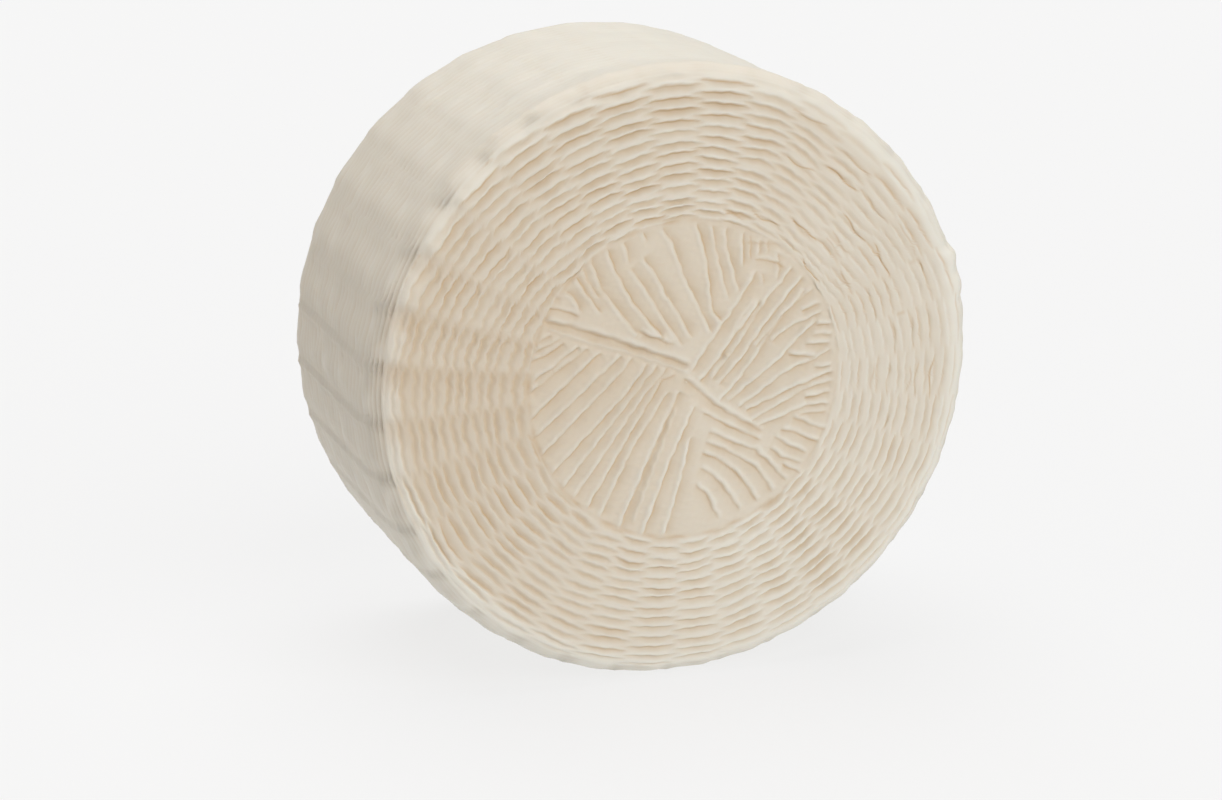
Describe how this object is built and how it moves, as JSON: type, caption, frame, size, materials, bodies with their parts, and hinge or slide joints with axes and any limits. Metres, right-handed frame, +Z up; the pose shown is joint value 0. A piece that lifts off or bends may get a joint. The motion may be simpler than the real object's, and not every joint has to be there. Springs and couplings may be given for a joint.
{
  "type": "wheel of fresh pecorino cheese",
  "caption": "Whole round wheel of fresh sheep's cheese with a basket-woven face, a finely grooved flared rim and a small flat foot, standing on its rim.",
  "frame": {"origin": "under the middle of the wheel's box, on the surface that it stands on", "axes": "+Z up; the woven front face looks along -Y; the wheel's axis lies close to Y, leaning 3 degrees because the rim flares"},
  "size_m": [0.2162, 0.1186, 0.2133],
  "materials": {
    "rind": "ivory rind of a fresh cheese, satin and faintly moist, with tan shading in the grooves of the basket print"
  },
  "bodies": {
    "root": {"cheese_wheel": "rind"}
  },
  "joints": []
}
